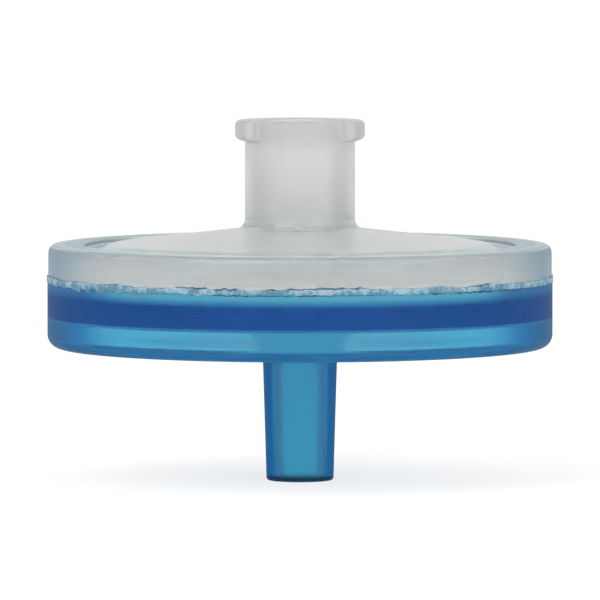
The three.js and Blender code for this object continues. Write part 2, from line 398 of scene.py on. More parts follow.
class FilterSettings(bpy.types.PropertyGroup):
    """All settings of the filter."""

    housing: PointerProperty(type=HousingSizes)
    ribs: PointerProperty(type=RibSizes)
    luer: PointerProperty(type=LuerSizes)
    flash: PointerProperty(type=FlashSizes)
    finish: PointerProperty(type=Finishes)
    studio: PointerProperty(type=StudioSettings)
    columns_between: whole("Columns", "Columns of faces between two neighbouring spokes", 38, 8)


# ---------------------------------------------------------------- profiles and meshes


def arc(centre_r, centre_z, across, up, start_deg, end_deg, steps=6):
    """Points on an arc of an ellipse in a profile."""
    angles = np.radians(np.linspace(start_deg, end_deg, steps + 1))
    return [(centre_r + across * math.cos(a), centre_z + up * math.sin(a)) for a in angles]


def rounded(corners, steps=4):
    """A profile through corners (radius, z, rounding), with each corner replaced by an arc."""
    points = []
    for index, (r, z, size) in enumerate(corners):
        here = np.array((r, z))
        if size == 0 or index in (0, len(corners) - 1):
            points.append((r, z))
            continue
        before = np.array(corners[index - 1][:2]) - here
        after = np.array(corners[index + 1][:2]) - here
        shorter = min(np.linalg.norm(before), np.linalg.norm(after))
        reach = min(size, MOST_OF_A_SIDE * shorter)
        start = here + before / np.linalg.norm(before) * reach
        end = here + after / np.linalg.norm(after) * reach
        for step in range(steps + 1):
            t = step / steps
            point = (1 - t) ** 2 * start + 2 * t * (1 - t) * here + t**2 * end
            points.append((float(point[0]), float(point[1])))
    return points


class Columns:
    """Where the columns of faces stand round the axis. Those beside a spoke run parallel to it."""

    def __init__(self, settings):
        ribs = settings.ribs
        half = ribs.channel_width / 2
        soft = ribs.draft
        across = np.array(ACROSS_HALF_CHANNEL) * half
        across = np.concatenate([across, [half - soft, half, half + soft]])
        self.offsets = np.concatenate([-across[:0:-1], across])
        self.between = np.linspace(0, 1, settings.columns_between + 2)[1:-1]
        self.turn = ribs.turn
        self.half = half
        self.soft = soft
        self.bar_half = ribs.bar_width / 2
        self.least = settings.luer.hub_radius

    def angles(self, radius):
        """Angles of all columns at a radius."""
        radius = max(radius, self.least)
        sides = np.arcsin(self.offsets / radius)
        step = 2 * math.pi / SPOKES
        gap = step - 2 * sides[-1]
        sector = np.concatenate([sides, sides[-1] + self.between * gap])
        return np.concatenate([self.turn + k * step + sector for k in range(SPOKES)])

    def masks(self, bars):
        """How much of a rib stands in each column, and how much of a bar."""
        distance = np.abs(self.offsets)
        beyond = np.ones(len(self.between))
        channel = np.clip((distance - (self.half - self.soft)) / (2 * self.soft), 0, 1)
        bar = np.clip((self.bar_half + 2 * self.soft - distance) / (2 * self.soft), 0, 1)
        rib_share = []
        bar_share = []
        for k in range(SPOKES):
            if k in bars:
                rib_share.append(np.concatenate([np.ones_like(channel), beyond]))
                bar_share.append(np.concatenate([bar, 0 * beyond]))
            else:
                rib_share.append(np.concatenate([channel, beyond]))
                bar_share.append(np.concatenate([0 * channel, 0 * beyond]))
        return np.concatenate(rib_share), np.concatenate(bar_share)


def plain_row(columns, r, z):
    """One ring of points at the same radius and height."""
    angles = columns.angles(r)
    return np.column_stack([r * np.cos(angles), r * np.sin(angles), np.full(len(angles), z)])


def shaped_row(columns, r, radii, z):
    """One ring of points whose radius or height changes round the axis."""
    angles = columns.angles(r)
    values = radii(angles) if callable(radii) else radii
    values = np.broadcast_to(values, angles.shape)
    heights = np.broadcast_to(z, angles.shape)
    return np.column_stack([values * np.cos(angles), values * np.sin(angles), heights])


def rib_rows(columns, first, last, ribs, crest, base_at, bars):
    """Rows over a ribbed face: base_at gives the level between the ribs, crest is theirs."""
    rib_share, bar_share = columns.masks(bars)
    half, draft = ribs.width / 2, ribs.draft
    steps = (
        (-half - draft, 0.0),
        (-half, RIB_SHOULDER),
        (-half + draft, 1.0),
        (half - draft, 1.0),
        (half, RIB_SHOULDER),
        (half + draft, 0.0),
    )
    stations = []
    radius = first
    while radius <= last:
        stations += [(radius + offset, level) for offset, level in steps]
        radius += ribs.pitch
    rows = []
    for r, level in stations:
        bar = bar_share if r >= BAR_START else 0 * bar_share
        standing = np.maximum(level * rib_share, bar)
        base = base_at(r)
        rows.append(shaped_row(columns, r, r, base + (crest - base) * standing))
    return rows


def wrapped_mesh(name, rows, smooth_deg=32):
    """A closed body from rings of points that follow each other round its section."""
    count = len(rows[0])
    points = np.concatenate(rows)
    total = len(rows)
    faces = []
    for i in range(total):
        a, b = i * count, ((i + 1) % total) * count
        for j in range(count):
            k = (j + 1) % count
            faces.append((a + j, a + k, b + k, b + j))
    mesh = bpy.data.meshes.new(name)
    mesh.from_pydata(points.tolist(), [], faces)
    mesh.validate()
    mesh.shade_smooth()
    mesh.set_sharp_from_angle(angle=math.radians(smooth_deg))
    made = bpy.data.objects.new(name, mesh)
    bpy.context.scene.collection.objects.link(made)
    return made


# ---------------------------------------------------------------- shader nodes


class Signal:
    """A shader socket, with arithmetic that adds Math nodes."""

    def __init__(self, graph, socket):
        self.graph = graph
        self.socket = socket

    def math(self, operation, *operands):
        settings = {"operation": operation}
        return self.graph.node("ShaderNodeMath", settings, dict(enumerate(operands)))

    def __add__(self, other):
        return self.math("ADD", self, other)

    __radd__ = __add__

    def __sub__(self, other):
        return self.math("SUBTRACT", self, other)

    def __rsub__(self, other):
        return self.math("SUBTRACT", other, self)

    def __mul__(self, other):
        return self.math("MULTIPLY", self, other)

    __rmul__ = __mul__

    def root(self):
        return self.math("SQRT", self)

    def absolute(self):
        return self.math("ABSOLUTE", self)

    def or_else(self, other):
        """The greater of two masks."""
        return self.math("MAXIMUM", self, other)

    def between(self, low, high):
        """0 below low, 1 above high, and smooth from one to the other."""
        return self.graph.node(
            "ShaderNodeMapRange",
            {"interpolation_type": "SMOOTHSTEP"},
            {"Value": self, "From Min": low, "From Max": high},
        )


class Graph:
    """The node tree of one new material or world."""

    def __init__(self, owner, end="ShaderNodeOutputMaterial"):
        self.owner = owner
        self.owner.use_nodes = True
        self.tree = owner.node_tree
        self.tree.nodes.clear()
        self.end = self.tree.nodes.new(end)

    def node(self, kind, settings=None, inputs=None, output=0):
        """Adds a node, sets its settings, then its sockets, and gives one of its outputs."""
        made = self.tree.nodes.new(kind)
        for key, value in (settings or {}).items():
            setattr(made, key, value)
        for key, value in (inputs or {}).items():
            self.feed(made.inputs[key], value)
        return Signal(self, made.outputs[output])

    def feed(self, socket, value):
        """Links a signal to a socket, or sets the socket to a number or a colour."""
        if isinstance(value, Signal):
            self.tree.links.new(value.socket, socket)
        elif socket.type == "RGBA" and len(value) == 3:
            socket.default_value = (*value, 1.0)
        else:
            socket.default_value = value

    def outputs(self, signal):
        """All outputs of the node that a signal comes from, by name."""
        return {socket.name: Signal(self, socket) for socket in signal.socket.node.outputs}

    def mix_colour(self, factor, a, b):
        """Mixes two colours, which a Mix node takes at sockets 6 and 7 and gives at 2."""
        settings = {"data_type": "RGBA", "blend_type": "MIX"}
        return self.node("ShaderNodeMix", settings, {0: factor, 6: a, 7: b}, output=2)

    def mix_shader(self, factor, a, b):
        return self.node("ShaderNodeMixShader", None, {0: factor, 1: a, 2: b})

    def split(self, vector):
        """A vector's x, y and z."""
        parts = self.node("ShaderNodeSeparateXYZ", None, {0: vector})
        return self.outputs(parts).values()

    def place(self):
        """Position in the part's own frame, whole and as x, y and z."""
        coordinates = self.node("ShaderNodeTexCoord", output="Object")
        return coordinates, self.split(coordinates)

    def upward(self):
        """1 where a face looks straight up or down, 0 where it stands upright."""
        _, _, z = self.split(self.node("ShaderNodeTexCoord", output="Normal"))
        return z.absolute()

    def noise(self, coordinates, scale, detail=2.0, roughness=0.5):
        """Smooth noise whose features are about 1 / scale metres across."""
        return self.node(
            "ShaderNodeTexNoise",
            None,
            {"Vector": coordinates, "Scale": scale, "Detail": detail, "Roughness": roughness},
        )

    def bump(self, height, distance, strength=1.0):
        inputs = {"Height": height, "Distance": distance, "Strength": strength}
        return self.node("ShaderNodeBump", None, inputs)

    def background_rays(self):
        """1 for what looks straight at the background, or at it in a gloss or through glass."""
        rays = self.outputs(self.node("ShaderNodeLightPath"))
        seen = rays["Is Camera Ray"].or_else(rays["Is Glossy Ray"])
        return seen.or_else(rays["Is Transmission Ray"])

    def finish(self, surface, volume=None):
        """Ends the tree, and gives back the material or world that it belongs to."""
        self.tree.links.new(surface.socket, self.end.inputs["Surface"])
        if volume is not None:
            self.tree.links.new(volume.socket, self.end.inputs["Volume"])
        return self.owner


def new_material(name):
    """The empty node tree of a new material."""
    return Graph(bpy.data.materials.new(name))


def glass(graph, tint, roughness, trapped, normal, gloss_share):
    """Blurred see-through plastic of one tint. The trapped share bounces light inside it."""
    satin = {"Roughness": roughness, "Normal": normal}
    bent = graph.node(
        "ShaderNodeBsdfRefraction", None, {"Color": tint, "IOR": PLASTIC_IOR, **satin}
    )
    gloss = graph.node("ShaderNodeBsdfAnisotropic", None, {"Color": tint, **satin})
    fresnel = graph.node("ShaderNodeFresnel", None, {"IOR": PLASTIC_IOR, "Normal": normal})
    dim = graph.mix_shader(fresnel * gloss_share, bent, gloss)
    full = graph.node(
        "ShaderNodeBsdfPrincipled",
        None,
        {"Base Color": tint, "Transmission Weight": 1.0, "IOR": PLASTIC_IOR, **satin},
    )
    return graph.mix_shader(trapped, dim, full)


def milk(graph, shade, normal, let_through=0.5):
    """The cloudy part of a plastic, which scatters light back and passes some on."""
    body = graph.node(
        "ShaderNodeBsdfPrincipled",
        None,
        {
            "Base Color": shade,
            "Roughness": MILK_ROUGHNESS,
            "IOR": PLASTIC_IOR,
            "Specular IOR Level": MILK_SPECULAR,
            "Normal": normal,
        },
    )
    through = graph.node("ShaderNodeBsdfTranslucent", None, {"Color": shade})
    return graph.mix_shader(let_through, body, through)


def milks(graph, normal, shade, *places):
    """Milk of one shade, with other shades over it where their masks say."""
    cloudy = milk(graph, tuple(shade), normal)
    for mask, other in places:
        cloudy = graph.mix_shader(mask, cloudy, milk(graph, tuple(other), normal))
    return cloudy


def absorption(graph, tint, density):
    """What a plastic takes out of the light on its way through."""
    inputs = {"Color": tuple(tint), "Density": density}
    return graph.node("ShaderNodeVolumeAbsorption", None, inputs)


def moulded_relief(graph, coordinates):
    """The slightly uneven surface of a moulded part: fine grain over shallow waves."""
    grain = graph.noise(coordinates, scale=3200.0, detail=3.0)
    waves = graph.noise(coordinates, scale=420.0)
    height = grain * GRAIN_SHARE + waves * (1 - GRAIN_SHARE)
    return graph.bump(height, distance=0.02 * MM, strength=0.5)


def facing_away(graph, normal):
    """0 where a surface is seen square on, towards 1 where it is seen at a glance."""
    inputs = {"Blend": 0.5, "Normal": normal}
    return graph.node("ShaderNodeLayerWeight", None, inputs, output="Facing")


def natural_plastic(finish):
    """Colourless moulded plastic: cloudy, lets light and blurred shapes through.

    Heights z and distances radius from the axis are in metres.
    """
    graph = new_material("natural plastic")
    coordinates, (x, y, z) = graph.place()
    radius = (x * x + y * y).root()
    normal = moulded_relief(graph, coordinates)
    aside = facing_away(graph, normal)
    flat = graph.upward().between(*FLAT_FACE)
    upright = 1 - flat
    # Painted shade: the hub gets a darker copy of the milk.
    hub = z.between(0.0148, 0.0160)
    # Painted shade: the top of the hub gets more of a darker milk.
    top = z.between(0.0195, 0.0208)
    flat_rim = radius.between(0.0126, 0.0130) * flat
    in_groove = (
        radius.between(0.0122, 0.0124)
        * (1 - radius.between(0.0137, 0.0139))
        * z.between(0.0135, 0.0137)
        * upright
    )
    # Painted shade: the upper part of the groove's walls gets a dark milk.
    groove_top = z.between(0.01395, 0.01400)
    crescent_shade = in_groove * groove_top
    # Painted light: the lower part of the groove's walls gets extra pale milk.
    groove = in_groove * (1 - groove_top)
    # Painted shade: the rim wall gets a darker, bluish milk where it is seen at a glance.
    wall_edge_shade = aside.between(0.30, 0.75) * (1 - hub) * radius.between(0.0140, 0.0143)
    weld = radius.between(0.0149, 0.01505) * (1 - z.between(0.0121, 0.0127))
    plug = (1 - z.between(0.01195, 0.01205)) * radius.between(0.0120, 0.0124)
    rib_walls = (1 - radius.between(0.0112, 0.0116)) * (1 - z.between(0.0125, 0.0128)) * upright
    # Painted shade: the flat ring round the chamber gets a bluish, darker copy of the milk.
    ring = flat * radius.between(0.0110, 0.0116) * (1 - radius.between(0.0123, 0.0126))
    outline = (
        aside.between(0.25, 0.8) * (1 - hub) + aside.between(0.75, 0.98) * hub
    ) * (1 - flat)

    def clear_plastic(tint, trapped):
        return glass(graph, tint, finish.natural_roughness, trapped, normal, NATURAL_GLOSS)

    clear = graph.mix_shader(
        outline,
        clear_plastic(WHITE, NATURAL_TRAPPED),
        clear_plastic(NATURAL_EDGE, NATURAL_EDGE_TRAPPED),
    )
    clear = graph.mix_shader(flat_rim, clear, clear_plastic(NATURAL_RIM, NATURAL_RIM_TRAPPED))
    clear = graph.mix_shader(hub, clear, clear_plastic(WHITE, HUB_TRAPPED))
    cloud = (
        finish.natural_cloud
        + (NATURAL_HUB_CLOUD - finish.natural_cloud) * hub
        + (NATURAL_FLAT_CLOUD + NATURAL_GRAZE_CLOUD * aside.between(0.5, 0.9))
        * (1 - hub)
        * (1 - flat_rim)
        * flat
        + (RIM_GRAZE_CLOUD * aside.between(0.6, 0.9) - finish.natural_cloud) * flat_rim
        + NATURAL_WELD_CLOUD * weld * (1 - aside.between(0.2, 0.5))
        + PLUG_CLOUD * plug
        + TOP_SHADE_CLOUD * top
        + RIB_WALL_CLOUD * rib_walls
        + (CRESCENT_SHADE_CLOUD - finish.natural_cloud) * crescent_shade
        + GROOVE_LIGHT_CLOUD * groove
        + NATURAL_EDGE_SHADE_CLOUD * wall_edge_shade
    )
    cloudy = milks(
        graph,
        normal,
        finish.natural_milk,
        (hub, NATURAL_HUB_SHADE_MILK),
        (ring, RING_SHADE_MILK),
        (top, HUB_TOP_SHADE_MILK),
        (wall_edge_shade * upright, NATURAL_EDGE_SHADE_MILK),
        (crescent_shade, CRESCENT_SHADE_MILK),
    )
    absorb = absorption(graph, finish.natural_tint, finish.natural_density)
    return graph.finish(graph.mix_shader(cloud, clear, cloudy), absorb)


def blue_plastic(finish):
    """Blue moulded plastic: deepest where the light has most of it to cross.

    Heights z and distances radius from the axis are in metres.
    """
    graph = new_material("blue plastic")
    coordinates, (x, y, z) = graph.place()
    radius = (x * x + y * y).root()
    normal = moulded_relief(graph, coordinates)
    aside = facing_away(graph, normal)
    upright = 1 - graph.upward().between(*FLAT_FACE)
    outside = radius.between(0.0148, 0.0150)
    off_axis = radius.between(0.0014, 0.0016)
    tip = 1 - z.between(0.0070, 0.0078)
    # Painted shade: the tip's end, where it stands on the floor, gets a dark milk.
    foot = 1 - z.between(0.0002, 0.0005)
    above = z.between(0.00970, 0.00995)
    near_weld = z.between(0.0111, 0.0118)
    over_lip = z.between(0.0084, 0.0088)
    # Painted light: a bright teal milk in a band below the weld, fading where the wall is seen at a
    # glance.
    leak = near_weld * upright * outside * (1 - LEAK_FADE * aside.between(0.25, 0.50))
    uneven = PLATE_LEAST + PLATE_VARIES * graph.noise(coordinates, scale=700.0)
    plate = above * upright * uneven
    lip = (1 - over_lip) * radius.between(0.0140, 0.0145)
    # Painted light: the skirt's outer band gets a pale cyan milk.
    skirt = outside * upright * (1 - above) * over_lip
    # Painted shade: where the skirt's band is seen at a glance, its pale milk turns to a darker
    # blue one.
    skirt_end_shade = skirt * aside.between(0.22, 0.55)
    # Painted light: the tip's root, in shade inside the skirt, gets a pale milk.
    root = (
        (1 - radius.between(0.0045, 0.0050))
        * radius.between(0.0015, 0.0018)
        * z.between(0.0068, 0.0085)
        * (1 - z.between(0.0099, 0.0101))
    )
    weld = z.between(0.0119, 0.01195) * (1 - upright) * radius.between(0.0129, 0.0133)
    outline = (aside.between(0.35, 0.85) * above + aside.between(0.32, 0.8) * (1 - above)) * upright

    def clear_plastic(tint, trapped):
        return glass(graph, tint, finish.blue_roughness, trapped, normal, BLUE_GLOSS)

    disc = graph.mix_shader(
        outline, clear_plastic(WHITE, BLUE_TRAPPED), clear_plastic(BLUE_EDGE, BLUE_TRAPPED)
    )
    outlet = graph.mix_shader(
        aside.between(0.09, 0.20) * off_axis,
        clear_plastic(TIP_TINT, TIP_TRAPPED),
        clear_plastic(TIP_EDGE, TIP_TRAPPED),
    )
    outlet = graph.mix_shader(
        aside.between(0.26, 0.42) * off_axis, outlet, clear_plastic(TIP_RIM, BLUE_TRAPPED)
    )
    clear = graph.mix_shader(tip, disc, outlet)
    cloud = (
        finish.blue_cloud
        + (finish.blue_plate_cloud - finish.blue_cloud) * plate
        + LEAK_LIGHT_CLOUD * leak
        + ROOT_LIGHT_CLOUD * root
        + LIP_CLOUD * lip
        + SKIRT_LIGHT_CLOUD * skirt
        + SKIRT_END_SHADE_CLOUD * skirt_end_shade
        + (TIP_CLOUD - finish.blue_cloud) * tip
        + BLUE_WELD_CLOUD * weld
        + FOOT_SHADE_CLOUD * foot
    )
    cloudy = milks(
        graph,
        normal,
        finish.blue_milk,
        (leak, finish.painted_weld_glow),
        (skirt, SKIRT_LIGHT_MILK),
        (skirt_end_shade, SKIRT_END_SHADE_MILK),
        (root, ROOT_LIGHT_MILK),
        (lip, LIP_MILK),
        (tip, TIP_MILK),
        (weld, WELD_MILK),
        (foot, FOOT_SHADE_MILK),
    )
    absorb = absorption(graph, finish.blue_tint, finish.blue_density)
    return graph.finish(graph.mix_shader(cloud, clear, cloudy), absorb)


def flash_material(name, light, dark):
    """Torn plastic of the weld: pale, with dark blue gaps. The seam's painted shadow lines use it
    too, with painted light and painted shade for its two colours.
    """
    graph = new_material(name)
    coordinates, (_, _, z) = graph.place()
    fine = graph.noise(coordinates, scale=4200.0, detail=4.0, roughness=0.7)
    coarse = graph.noise(coordinates, scale=900.0, detail=1.0)
    torn = fine * FINE_TEARS + coarse * COARSE_TEARS
    height = z.between(OUTLET_HIGH.z - FLASH_FOOT, OUTLET_HIGH.z + FLASH_HEAD)
    normal = graph.bump(torn, distance=0.03 * MM, strength=0.7)
    shown = (torn + PALE_UPWARD * (height - 0.5)).between(*TORN_STEP)
    gaps = milk(graph, tuple(dark), normal, FLASH_LET_THROUGH)
    pale = milk(graph, tuple(light), normal, FLASH_LET_THROUGH)
    return graph.finish(graph.mix_shader(shown, gaps, pale))


def membrane_material(finish):
    """Matte white porous sheet."""
    graph = new_material("membrane")
    coordinates, _ = graph.place()
    pores = graph.noise(coordinates, scale=9000.0, detail=4.0, roughness=0.7)
    deep = tuple(PORE_SHADE * part for part in finish.membrane)
    shade = graph.mix_colour(pores, deep, tuple(finish.membrane))
    normal = graph.bump(pores, distance=0.01 * MM)
    surface = graph.node(
        "ShaderNodeBsdfPrincipled",
        None,
        {"Base Color": shade, "Roughness": MEMBRANE_ROUGHNESS, "Normal": normal},
    )
    return graph.finish(surface)


# ---------------------------------------------------------------- pieces


def adopt(piece, material, slot, *nodes):
    """Gives a finished piece its material and its place in the frame."""
    piece.data.materials.append(material)
    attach(piece, "root")
    if nodes:
        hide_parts(*nodes)


def plain_rows(columns, profile):
    """One plain ring of points for each point of a profile."""
    return [plain_row(columns, r, z) for r, z in profile]


def smooth_step(low, high, value):
    """0 below low, 1 above high, and smooth from one to the other."""
    t = np.clip((value - low) / (high - low), 0, 1)
    return t * t * (3 - 2 * t)


def near(angles, middle, half_width):
    """1 at one place round the axis, and less the further from it."""
    turned = (angles - middle + math.pi) % (2 * math.pi) - math.pi
    return np.exp(-((turned / half_width) ** 2))


def ring_noise(random, angles, count):
    """Smooth random values from 0 to 1 that go round a circle without a step."""
    knots = random.random(count)
    place = angles % (2 * math.pi) / (2 * math.pi) * count
    index = np.floor(place).astype(int)
    t = smooth_step(0, 1, place - index)
    return knots[index % count] * (1 - t) + knots[(index + 1) % count] * t


class FILTER_OT_inlet_shell(bpy.types.Operator):
    """Build the colourless inlet shell with its hub, lock ears and flow ribs"""

    bl_idname = "filter.inlet_shell"
    bl_label = "Inlet shell"

    def execute(self, context):
        settings = context.scene.syringe_filter
        housing, ribs, luer = settings.housing, settings.ribs, settings.luer
        soft = housing.edge_softness
        columns = Columns(settings)
        chamber = MEMBRANE_HIGH.x - housing.clamped_width
        seat = MEMBRANE_HIGH.x + housing.seat_clearance
        plug = seat - housing.plug_clearance
        land_z = MEMBRANE_HIGH.z
        weld_z = OUTLET_HIGH.z + housing.parting_gap
        rim = INLET_HIGH.x
        top_z = INLET_HIGH.z
        bore_z = top_z - luer.bore_depth
        groove_z = RIM_TOP_Z - housing.groove_depth
        crest = land_z + ribs.clearance
        foot = luer.hub_radius + luer.hub_fillet

        def ceiling(r):
            rise = ribs.ceiling_rise + (chamber - r) * math.tan(ribs.ceiling_angle)
            return land_z + rise

        def cone(r):
            rise = housing.cone_rise + (chamber - r) * math.tan(housing.cone_angle)
            return RIM_TOP_Z + rise

        def opening(steps, end_z):
            """Rows of the four-lobed opening, near one of its ends."""
            for wider, away in steps:
                yield shaped_row(columns, 0, outline_of(wider), end_z + away)

        def outline_of(wider):
            """The opening's outline, that much wider all round."""

            def outline(angles):
                swing = np.cos(LOBES * (angles - ribs.turn))
                return luer.lobe_mean + wider + luer.lobe_depth * swing

            return outline

        rows = list(opening(OPENING_FOOT, ceiling(0)))
        rows += plain_rows(columns, [(r, ceiling(r)) for r in CEILING_RINGS])
        last = chamber - ribs.wall_gap - ribs.width / 2
        rows += rib_rows(columns, ribs.inlet_first, last, ribs, crest, ceiling, BAR_SPOKES)
        _, bar_share = columns.masks(BAR_SPOKES)
        edge = chamber - 2 * ribs.draft
        for r, base in ((edge, ceiling(edge)), (chamber, ceiling(chamber) - soft)):
            rows.append(shaped_row(columns, r, r, base + (crest - base) * bar_share))
        rows += plain_rows(columns, rounded([
            (chamber, crest - LAND_STEP, 0),
            (chamber, land_z, soft / 2),
            (plug, land_z, soft / 2),
            (plug, weld_z, soft / 3),
            (rim, weld_z, soft / 2),
            (rim, RIM_TOP_Z, housing.rim_corner),
            (seat, RIM_TOP_Z, soft),
            (seat - GROOVE_OUTER_SLOPE, groove_z, soft * 2),
            (chamber + GROOVE_INNER_SLOPE, groove_z, soft * 3),
            (chamber, cone(chamber), soft * 4),
            (foot, cone(foot), 0),
        ]))
        fillet = luer.hub_fillet
        rows += plain_rows(
            columns, arc(foot, cone(foot) + fillet, fillet, fillet, 270, 180)[1:]
        )
        rows += self.ear_rows(columns, luer, top_z)
        mouth = luer.mouth_radius
        floor_r = mouth - luer.bore_depth * luer.taper / 2
        rows += plain_rows(columns, rounded([
            (mouth + MOUTH_FLAT, top_z, 0),
            (mouth + MOUTH_BEVEL, top_z, MOUTH_CORNER),
            (mouth, top_z - MOUTH_BEVEL, MOUTH_CORNER),
            (floor_r, bore_z, BORE_CORNER),
            (floor_r - BORE_LEDGE, bore_z, 0),
        ]))
        rows += opening(OPENING_HEAD, bore_z)
        shell = wrapped_mesh("inlet_shell_body", rows)
        adopt(shell, natural_plastic(settings.finish), "natural_plastic", "inlet_shell")
        return {"FINISHED"}

    def ear_rows(self, columns, luer, top_z):
        """Rows up the top of the hub, which swell into an ear on each side."""
        low_z = top_z - luer.ear_height
        root = luer.hub_radius
        edge = luer.ear_edge
        profile = [(root, low_z - luer.ear_flank)]
        profile += rounded([
            (root, low_z - luer.ear_flank, 0),
            (luer.ear_radius, low_z, luer.ear_lower_edge),
            (luer.ear_radius, top_z - edge, 0),
        ])[1:]
        profile += arc(luer.ear_radius - edge, top_z - edge, edge, edge, 0, 90, 8)[1:]

        def reach(ear, z):
            over = max(0.0, z - (top_z - luer.hub_edge))
            drop = luer.hub_edge - math.sqrt(max(luer.hub_edge**2 - over**2, 0.0))
            hub = root - drop

            def radii(angles):
                from_middle = np.arcsin(np.abs(np.sin(angles)))
                fade = smooth_step(luer.ear_full, luer.ear_end, from_middle)
                outline = root + (luer.ear_radius - root) * (1 - fade)
                return np.maximum(hub, np.minimum(ear, outline))

            return radii

        return [shaped_row(columns, root, reach(ear, z), z) for ear, z in profile]


class FILTER_OT_outlet_shell(bpy.types.Operator):
    """Build the blue outlet shell with its drain ribs, skirt and luer tip"""

    bl_idname = "filter.outlet_shell"
    bl_label = "Outlet shell"

    def execute(self, context):
        settings = context.scene.syringe_filter
        housing, ribs, luer = settings.housing, settings.ribs, settings.luer
        soft = housing.edge_softness
        columns = Columns(settings)
        chamber = MEMBRANE_HIGH.x - housing.clamped_width
        seat = MEMBRANE_HIGH.x + housing.seat_clearance
        disc = OUTLET_HIGH.x
        weld_z = OUTLET_HIGH.z
        seat_z = weld_z - housing.seat_depth
        drain_z = seat_z - ribs.drain_depth
        skirt_z = SKIRT_BOTTOM_Z
        floor_z = skirt_z + housing.skirt_depth
        root_z = floor_z - luer.root_reach
        skirt_inside = disc - housing.skirt_wall
        corner = housing.skirt_corner
        end = luer.tip_edge
        bore = luer.tip_bore

        def tip(z):
            return luer.tip_radius + z * luer.taper / 2

        def drain(_):
            return drain_z

        flare_r = tip(root_z) + luer.root_flare
        flare = arc(flare_r, root_z, luer.root_flare, luer.root_reach, 180, 90, 12)
        profile = [(bore + TIP_BEVEL, 0.0)]
        profile += arc(tip(end) - end, end, end, end, 270, 360)
        profile += flare
        profile += rounded([
            (flare[-1][0] + FLOOR_LEDGE, floor_z, 0),
            (skirt_inside, floor_z, SKIRT_INNER_CORNER),
            (skirt_inside, skirt_z, SKIRT_INNER_CORNER),
            (disc - corner, skirt_z, 0),
        ])
        profile += arc(disc - corner, skirt_z + corner, corner, corner, 270, 360, 8)[1:]
        profile += rounded([
            (disc, skirt_z + corner + SIDE_START, 0),
            (disc, weld_z, soft),
            (seat, weld_z, soft / 3),
            (seat, seat_z, soft / 2),
            (chamber, seat_z, soft / 2),
            (chamber, drain_z, soft / 2),
            (chamber - DRAIN_LEDGE, drain_z, 0),
        ])
        last = chamber - ribs.wall_gap - ribs.width / 2
        ribbed = rib_rows(columns, ribs.outlet_first, last, ribs, seat_z, drain, ())
        bore_wall = rounded([
            (bore + FLOOR_LEDGE, drain_z, 0),
            (bore, drain_z, soft),
            (bore, TIP_BEVEL, 0),
            (bore + TIP_BEVEL, 0.0, 0),
        ])
        rows = plain_rows(columns, profile) + ribbed[::-1] + plain_rows(columns, bore_wall[:-1])
        shell = wrapped_mesh("outlet_shell_body", rows)
        adopt(shell, blue_plastic(settings.finish), "blue_plastic", "outlet_shell")
        return {"FINISHED"}


class FILTER_OT_flash(bpy.types.Operator):
    """Build the ragged flash that the weld pressed out between the shells, and painted shadow lines
    along the seam
    """

    bl_idname = "filter.flash"
    bl_label = "Weld flash"

    def execute(self, context):
        settings = context.scene.syringe_filter
        housing, flash, finish = settings.housing, settings.flash, settings.finish
        disc, weld_z = OUTLET_HIGH.x, OUTLET_HIGH.z
        seat = MEMBRANE_HIGH.x + housing.seat_clearance
        angles = np.linspace(0, 2 * math.pi, flash.columns, endpoint=False)
        random = np.random.default_rng(FLASH_SEED)

        def noise(kind):
            return ring_noise(random, angles, KNOTS[kind])

        coarse = near(angles, flash.coarse_at, flash.coarse_over)
        teeth = np.clip((noise("teeth") - TEETH_LEVEL) / (1 - TEETH_LEVEL), 0, 1)
        nibs = DROP_LEAST + DROP_VARIES * noise("nibs")
        drop = flash.drop * nibs + flash.teeth * teeth * coarse
        rise = flash.rise * (RISE_LEAST + RISE_VARIES * (noise("rise") + noise("slow rise")))
        proud = flash.proud * (PROUD_LEAST + noise("thickness"))
        pale = self.lip("weld_flash_pale", angles, disc, weld_z, drop, rise, proud)
        torn_finish = flash_material("pale flash", finish.flash_pale, finish.flash_cold)
        adopt(pale, torn_finish, "natural_plastic")
        # Painted shadow lines along the seam: a dark sheet with lit and shaded parts, where the
        # seam only has shade.
        shadow_line_finish = flash_material("seam thread", finish.shadow_line_lit, finish.shadow_line_dark)
        for name, z, middle, strays in (
            ("seam_thread_upper", weld_z + rise, flash.upper_at, "upper strays"),
            ("seam_thread_lower", weld_z - drop, flash.lower_at, "lower strays"),
        ):
            stray = STRAY_SHADOW_LINE * smooth_step(*STRAY_STEP, noise(strays)) * (1 - coarse)
            there = near(angles, middle, flash.shadow_line_over) + stray
            broken = np.clip(there, 0, 1) * smooth_step(*BREAK_STEP, noise("breaks"))
            height = flash.line * broken * (SHADOW_LINE_LEAST + noise("thread height"))
            below, above = SHADOW_LINE_BELOW * height, SHADOW_LINE_ABOVE * height
            out = SHADOW_LINE_THICKNESS * flash.proud * broken
            shadow_line = self.lip(name, angles, disc, z, below, above, out)
            adopt(shadow_line, shadow_line_finish, "blue_plastic")
        inner_drop = INNER_DROP + INNER_DROP_VARIES * noise("inner drop")
        spread = noise("inner spread") * noise("slow inner spread")
        inward = INNER_SPREAD + INNER_SPREAD_VARIES * spread
        inner_r, inner_z = seat - INNER_INSET, weld_z - INNER_INSET
        flat = np.zeros_like(angles)
        inner = self.lip("weld_flash_inside", angles, inner_r, inner_z, inner_drop, flat, -inward)
        adopt(inner, torn_finish, "natural_plastic")
        return {"FINISHED"}

    def lip(self, name, angles, radius, z, drop, rise, proud):
        """A thin ragged lip round a wall, from drop below z to rise above it."""
        rows = []
        for out, below, above in LIP_PROFILE:
            r = radius + out * proud
            heights = z + below * drop + above * rise
            rows.append(np.column_stack([r * np.cos(angles), r * np.sin(angles), heights]))
        return wrapped_mesh(name, rows, smooth_deg=50)


